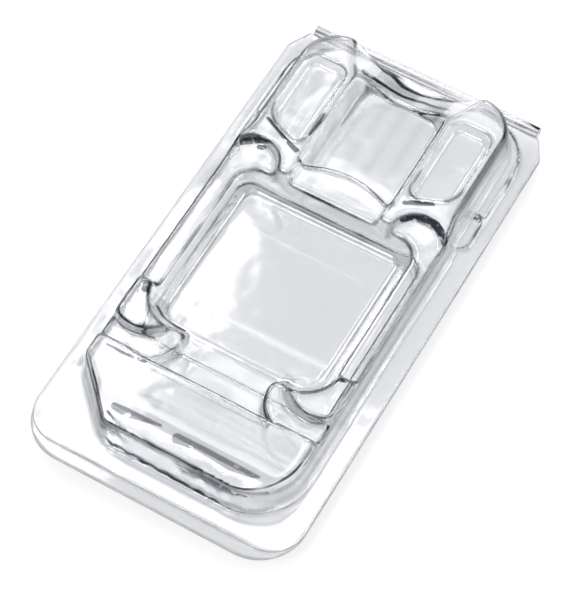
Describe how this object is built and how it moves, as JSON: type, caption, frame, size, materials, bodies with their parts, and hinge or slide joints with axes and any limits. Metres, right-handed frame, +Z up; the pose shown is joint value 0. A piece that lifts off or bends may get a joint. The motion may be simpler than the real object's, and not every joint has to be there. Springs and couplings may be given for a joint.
{
  "type": "clear processor clamshell case",
  "caption": "Clear thermoformed clamshell with a domed lid, recessed chip pocket, finger ledges and a bead hinge, made to hold and ship one square processor.",
  "frame": {"origin": "middle of the case's footprint, on the surface that the base tray lies on", "axes": "+Z up, +Y along the case from the opening end towards the hinge, +X across it"},
  "size_m": [0.062, 0.119, 0.0139],
  "materials": {
    "clear_sheet": "clear thermoformed sheet, glossy, with faint forming waves"
  },
  "bodies": {
    "base": {"base_tray": "clear_sheet", "hinge_strip": "clear_sheet"},
    "lid": {"lid": "clear_sheet"}
  },
  "joints": [
    {"name": "lid_hinge", "type": "hinge", "parent": "base", "child": "lid", "pos_m": [0, 0.05928, 0.0043], "axis": [-1, 0, 0], "range_deg": [0, 135], "deforming": ["hinge_strip"]}
  ]
}
